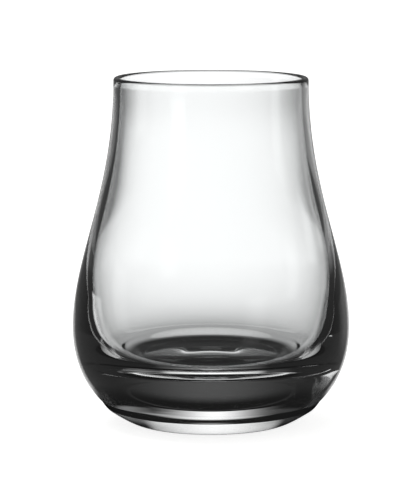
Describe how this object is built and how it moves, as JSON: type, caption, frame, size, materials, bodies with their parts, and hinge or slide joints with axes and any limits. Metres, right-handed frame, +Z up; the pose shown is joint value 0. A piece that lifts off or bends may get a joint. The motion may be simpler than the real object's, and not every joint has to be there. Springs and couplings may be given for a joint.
{
  "type": "whisky tumbler",
  "caption": "Clear glass whisky tumbler with a round belly, a narrower upright mouth, and a thick heavy bottom on a low foot. Stands on a level ring and holds a drink.",
  "frame": {"origin": "middle of the standing face, on the tumbler's own axis", "axes": "+Z up along the axis, from the foot to the mouth; X and Y level, and alike because the glass is round"},
  "size_m": [0.084, 0.084, 0.105],
  "materials": {
    "bowl_glass": "clear blown glass, fire-polished",
    "foot_glass": "clear pressed glass, fire-polished"
  },
  "bodies": {
    "root": {"bowl": "bowl_glass", "foot": "foot_glass"}
  },
  "joints": []
}
